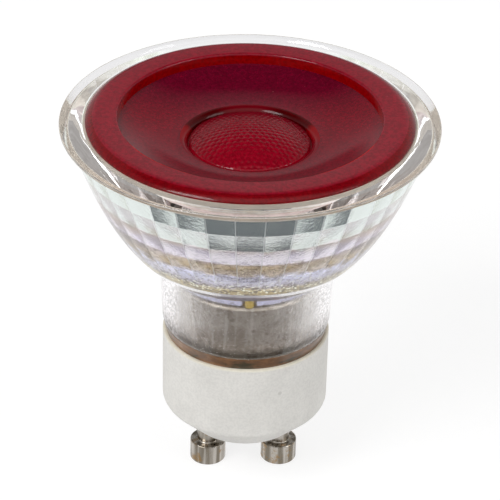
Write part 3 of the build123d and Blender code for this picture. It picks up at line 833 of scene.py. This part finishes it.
def whiteCeramic():
    # unglazed steatite: fine grain, sparse dark specks, a faint grey cloud
    material, tree, shader, coords = newMaterial("whiteCeramic")
    cloud = ramp(tree, noise(tree, coords, 160, 4.0, 0.6), ceramic["cloud"])
    grain = ramp(tree, noise(tree, coords, 3000, 2.0), [(0.3, 0.94), (0.65, 1.02)])
    dirt = useGroup(tree, effects["specks"], coords, ceramic["dirt"])
    body = blend(tree, calc(tree, "MULTIPLY", dirt, ceramic["dirtStrength"]),
                 times(tree, cloud, grain), ceramic["dirtTint"])
    reach = ceramic["stainReach"]
    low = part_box("ceramic_base")[1].z - reach
    part = calc(tree, "DIVIDE", calc(tree, "SUBTRACT", axes(tree, coords)[2], low), reach)
    edge = ramp(tree, part, [(0.60, 0.0), (0.92, 0.34)])
    setInputs(shader, {"Base Color": blend(tree, edge, body, ceramic["stain"]), "Roughness": 0.62})
    bump(tree, noise(tree, coords, 2400, 3.0), 0.12, 0.0005, shader)
    return material


cement = {
    "patches": [(0.34, srgb(74, 66, 50)), (0.46, srgb(108, 80, 58)), (0.58, srgb(130, 94, 66)),
                (0.72, srgb(156, 126, 98))],
    "pits": {"Scale": 900.0, "Size": 0.3, "Share": 0.3},
    "pit": srgb(70, 58, 44),
}


def brownCement():
    # glossy lamp cement, red-brown with olive and dark parts
    material, tree, shader, coords = newMaterial("brownCement")
    patch = ramp(tree, noise(tree, stretched(tree, coords, (1, 1, 2.5)), 240, 4.0, 0.65),
                 cement["patches"])
    pits = useGroup(tree, effects["specks"], coords, cement["pits"])
    body = blend(tree, calc(tree, "MULTIPLY", pits, 0.4), patch, cement["pit"])
    setInputs(shader, {"Base Color": body, "Roughness": 0.22})
    bump(tree, noise(tree, coords, 900, 3.0), 0.25, 0.0002, shader)
    return material


cup = {
    "stain": [(0.32, srgb(158, 150, 138)), (0.7, srgb(196, 190, 182))],
    "lines": {"Scale": 1500.0, "Low": 0.5, "High": 0.68},
    "line": srgb(222, 220, 216),
    "pits": {"Scale": 1500.0, "Size": 0.25, "Share": 0.25},
    "pit": srgb(238, 236, 230),
    "foot": [(0.36, srgb(150, 146, 116)), (0.56, 1.0)],     # olive stain, by share of the height
}


def drawnAluminium():
    # deep-drawn cup: lines along its length, brownish stains towards the foot
    material, tree, shader, coords = newMaterial("drawnAluminium")
    stain = ramp(tree, noise(tree, coords, 260, 5.0, 0.7), cup["stain"])
    lines = useGroup(tree, effects["scratches"], stretched(tree, coords, (1, 1, 0.08)), cup["lines"])
    body = blend(tree, calc(tree, "MULTIPLY", lines, 0.4), stain, cup["line"])
    pits = useGroup(tree, effects["specks"], coords, cup["pits"])
    body = blend(tree, calc(tree, "MULTIPLY", pits, 0.45), body, cup["pit"])
    low, high = [corner.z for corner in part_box("heat_sink_cup")]
    part = calc(tree, "DIVIDE", calc(tree, "SUBTRACT", axes(tree, coords)[2], low), high - low)
    setInputs(shader, {"Base Color": times(tree, body, ramp(tree, part, cup["foot"])),
                       "Metallic": 0.9, "Roughness": 0.42})
    bump(tree, lines, 0.2, 0.0001, shader)
    return material


pins = {
    "lines": {"Scale": 1300.0, "Low": 0.42, "High": 0.6},
    "dark": srgb(128, 120, 108),
    "light": srgb(190, 184, 176),
    "stain": srgb(150, 118, 72),
}


def nickelPlate():
    # nickel with upright polishing lines and gold-brown stains
    material, tree, shader, coords = newMaterial("nickelPlate")
    lines = useGroup(tree, effects["scratches"], stretched(tree, coords, (1, 1, 0.06)), pins["lines"])
    body = blend(tree, lines, pins["dark"], pins["light"])
    stain = ramp(tree, noise(tree, coords, 620, 4.0, 0.7), [(0.52, 0.0), (0.66, 0.75)])
    haze = ramp(tree, noise(tree, coords, 900, 3.0), [(0.3, 0.16), (0.7, 0.36)])
    setInputs(shader, {"Base Color": blend(tree, stain, body, pins["stain"]), "Roughness": haze,
                       "Metallic": 1.0})
    bump(tree, lines, 0.1, 0.0001, shader)
    return material


def dressNodes():
    # the CAD nodes that keep their shape get their finishes here
    finishes = {
        "lens_bond": solid("milkySilicone", srgb(208, 198, 184), 0.3, mottle=0.08),
        "ceramic_base": whiteCeramic(),
        "neck_bond": brownCement(),
        "heat_sink_cup": drawnAluminium(),
        "pin_left": nickelPlate(),
        "thermal_pad": solid("yellowPaste", srgb(196, 172, 92), 0.6, grain=0.2),
        "led_board": solid("whiteBoard", srgb(214, 216, 244), 0.35, mottle=0.02),
        "led_package": solid("ledWhite", srgb(238, 238, 232), 0.5, mottle=0.02),
        "led_phosphor": solid("ledYellow", srgb(228, 190, 60), 0.4, mottle=0.05),
        "driver_sleeve": solid("sleeveWhite", srgb(220, 220, 214), 0.5, grain=0.05),
        "driver_board": solid("boardGreen", srgb(44, 118, 62), 0.4, mottle=0.1),
        "bulk_capacitor": solid("canBlack", srgb(38, 38, 42), 0.3),
        "coil_core": solid("ferrite", srgb(58, 58, 60), 0.6, grain=0.2),
        "coil_winding": solid("copperWire", srgb(190, 110, 70), 0.3, metal=1.0),
        "bridge_rectifier": solid("chipBlack", srgb(34, 34, 35), 0.55, grain=0.15),
        "chip_resistors": solid("resistorBlack", srgb(30, 30, 32), 0.5),
        "fuse_resistor": solid("resistorBlue", srgb(90, 140, 150), 0.45),
        "led_wire_red": solid("wireRed", srgb(170, 30, 28), 0.4),
        "led_wire_black": solid("wireBlack", srgb(30, 30, 30), 0.4),
        "mains_wire_left": solid("tinnedWire", srgb(180, 180, 178), 0.3, metal=1.0),
    }
    finishes["pin_right"] = finishes["pin_left"]
    finishes["driver_chip"] = finishes["flyback_diode"] = finishes["bridge_rectifier"]
    finishes["mains_wire_right"] = finishes["mains_wire_left"]
    for name, material in finishes.items():
        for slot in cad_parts[name].material_slots:
            slot.material = material
    print("nodes dressed,", len(finishes))


studio = {
    "fill": 0.62,           # world light on matt surfaces
    "background": 1.25,     # the background's own colour is 0.8 grey, so this is white to the camera
    "through": 0.80,        # what is seen through the glass
    "sides": 0.95,          # mirrored soft boxes at the sides and in front
    # mirrored wall behind, by the height that a ray looks up; it darkens upwards
    "wall": [(0.0, 0.78), (0.36, 0.62), (0.50, 0.42), (0.62, 0.34), (0.72, 0.28), (0.80, 0.03)],
    "wallFrom": (-0.35, 0.05),
    # a dark door low in that wall darkens the near side of the dish
    "door": 0.8,
    "doorWidth": [(0.10, 1.0), (0.26, 0.0)],
    "doorHeight": [(0.04, 0.0), (0.10, 1.0), (0.30, 1.0), (0.38, 0.0)],
    "floorSize": 3.0,
    "paper": 0.82,
    "paperSeen": 0.3,       # the floor before the camera: matt colour and own light
    "paperGlow": 0.76,
    "floorGlow": 0.93,      # the floor as mirrored or seen through the glass
    "card": 0.072,          # dark card on the floor before the lamp
    "cardTint": (0.92, 0.97, 1.16),
    # its near edge: distance to the side and distance before the lamp, metres
    "cardEdge": [(0.0, 0.0165), (0.020, 0.0172), (0.026, 0.0275), (0.032, 0.0268),
                 (0.036, 0.0182), (0.042, 0.0156)],
    "cardFar": 0.25,
    "lamps": {"keyLamp": ((-0.5, -0.45, 0.7), 4.4), "fillLamp": ((0.7, -0.3, 0.45), 1.65)},
    "lampSize": 0.5,
    "lampAim": (0, 0, 0.03),
}


def join(tree, kind, *parts):
    # a shader that adds or mixes others, or is one of its own
    return add(tree, kind, dict(enumerate(parts))).outputs[0]


def makeFloor():
    size = studio["floorSize"]
    mesh = bpy.data.meshes.new("floor")
    mesh.from_pydata([(-size, -size, 0), (size, -size, 0), (size, size, 0), (-size, size, 0)], [],
                     [(0, 1, 2, 3)])
    floor = bpy.data.objects.new("floor", mesh)
    bpy.context.scene.collection.objects.link(floor)
    material = bpy.data.materials.new("floorPaper")
    material.use_nodes = True
    tree = material.node_tree
    tree.nodes.clear()
    paper, soft = [join(tree, "ShaderNodeBsdfDiffuse", (grey, grey, grey, 1))
                   for grey in (studio["paper"], studio["paperSeen"])]
    glow = add(tree, "ShaderNodeEmission", {"Strength": studio["paperGlow"]})
    seen = join(tree, "ShaderNodeAddShader", soft, glow.outputs[0])
    x, y, z = axes(tree, tree.nodes.new("ShaderNodeTexCoord").outputs["Object"])
    ahead = calc(tree, "MULTIPLY", y, -1.0)
    # the ramp runs over the first ten centimetres to either side
    aside = calc(tree, "MULTIPLY", calc(tree, "ABSOLUTE", x), 10.0)
    edge = ramp(tree, aside, [(side * 10, depth) for side, depth in studio["cardEdge"]])
    card = calc(tree, "MULTIPLY", calc(tree, "GREATER_THAN", ahead, edge),
                calc(tree, "LESS_THAN", ahead, studio["cardFar"]))
    level = calc(tree, "SUBTRACT", studio["floorGlow"],
                 calc(tree, "MULTIPLY", card, studio["floorGlow"] - studio["card"]))
    mirrored = join(tree, "ShaderNodeEmission", blend(tree, card, (1.0, 1.0, 1.0), studio["cardTint"]),
                    level)
    path = tree.nodes.new("ShaderNodeLightPath").outputs
    sharp = calc(tree, "MAXIMUM", path["Is Glossy Ray"], path["Is Transmission Ray"])
    plain = join(tree, "ShaderNodeMixShader", path["Is Camera Ray"], paper, seen)
    surface = join(tree, "ShaderNodeMixShader", sharp, plain, mirrored)
    add(tree, "ShaderNodeOutputMaterial", {"Surface": surface})
    mesh.materials.append(material)


def makeWorld():
    world = bpy.data.worlds.new("studio")
    bpy.context.scene.world = world
    world.use_nodes = True
    tree = world.node_tree
    tree.nodes.clear()
    x, y, z = axes(tree, tree.nodes.new("ShaderNodeTexCoord").outputs["Generated"])
    wall = ramp(tree, z, studio["wall"], smooth=False)
    aside = ramp(tree, calc(tree, "ABSOLUTE", x), studio["doorWidth"])
    low = ramp(tree, z, studio["doorHeight"])
    door = calc(tree, "MULTIPLY", calc(tree, "MULTIPLY", aside, low), studio["door"])
    wall = calc(tree, "MULTIPLY", wall, calc(tree, "SUBTRACT", 1.0, door))
    start, end = studio["wallFrom"]
    behind = add(tree, "ShaderNodeMapRange", {"Value": y, "From Min": start, "From Max": end})
    behind.interpolation_type = "SMOOTHSTEP"
    room = add(tree, "ShaderNodeMix", {"Factor": behind.outputs[0], "A": studio["sides"], "B": wall})
    path = tree.nodes.new("ShaderNodeLightPath").outputs
    glossy, through = path["Is Glossy Ray"], path["Is Transmission Ray"]
    mirrored = calc(tree, "MULTIPLY", glossy, room.outputs[0])
    beyond = calc(tree, "MULTIPLY", through, studio["through"])
    sharp = calc(tree, "MAXIMUM", glossy, through)
    matt = calc(tree, "MULTIPLY", calc(tree, "SUBTRACT", 1.0, sharp), studio["fill"])
    level = calc(tree, "ADD", matt, calc(tree, "ADD", mirrored, beyond))
    seen = calc(tree, "MAXIMUM", level,
                calc(tree, "MULTIPLY", path["Is Camera Ray"], studio["background"]))
    back = add(tree, "ShaderNodeBackground", {"Strength": seen})
    add(tree, "ShaderNodeOutputWorld", {"Surface": back.outputs[0]})


def makeLamp(name, place, power):
    light = bpy.data.lights.new(name, "AREA")
    light.shape = "DISK"
    light.size = studio["lampSize"]
    light.energy = power
    lamp = bpy.data.objects.new(name, light)
    bpy.context.scene.collection.objects.link(lamp)
    lamp.location = place
    aim = Vector(studio["lampAim"]) - Vector(place)
    lamp.rotation_euler = aim.to_track_quat("-Z", "Y").to_euler()
    lamp.visible_camera = False


# the camera that the photo was taken with, fitted to the pins, cap and rim
view = {
    "elevation": 31.644,
    "turn": 2.703,          # the pins' line against the picture, degrees
    "distance": 327.829 * mm,
    "lens": 174.861,
    "roll": 1.315,
    "aimRight": 0.341 * mm,
    "aimHeight": 34.202 * mm,
}


def makeCamera():
    e, t = math.radians(view["elevation"]), math.radians(view["turn"])
    level = Vector((-math.sin(t), -math.cos(t), 0))
    right = Vector((math.cos(t), -math.sin(t), 0))
    aim = right * view["aimRight"] + Vector((0, 0, view["aimHeight"]))
    away = level * math.cos(e) + Vector((0, 0, math.sin(e)))
    data = bpy.data.cameras.new("camera")
    data.sensor_width = 36
    data.lens = view["lens"]
    data.clip_start = 0.01
    camera = bpy.data.objects.new("camera", data)
    bpy.context.scene.collection.objects.link(camera)
    place = aim + away * view["distance"]
    look = (-away).to_track_quat("-Z", "Y").to_matrix().to_4x4()
    roll = Matrix.Rotation(math.radians(view["roll"]), 4, "Z")
    camera.matrix_world = Matrix.Translation(place) @ look @ roll
    bpy.context.scene.camera = camera


makeCamera()
makeWorld()
makeFloor()
for lampName, (lampPlace, watts) in studio["lamps"].items():
    makeLamp(lampName, lampPlace, watts)
print("studio ready")
makeGlass()
makeLens()
dressNodes()
bpy.context.scene.view_settings.view_transform = "Standard"
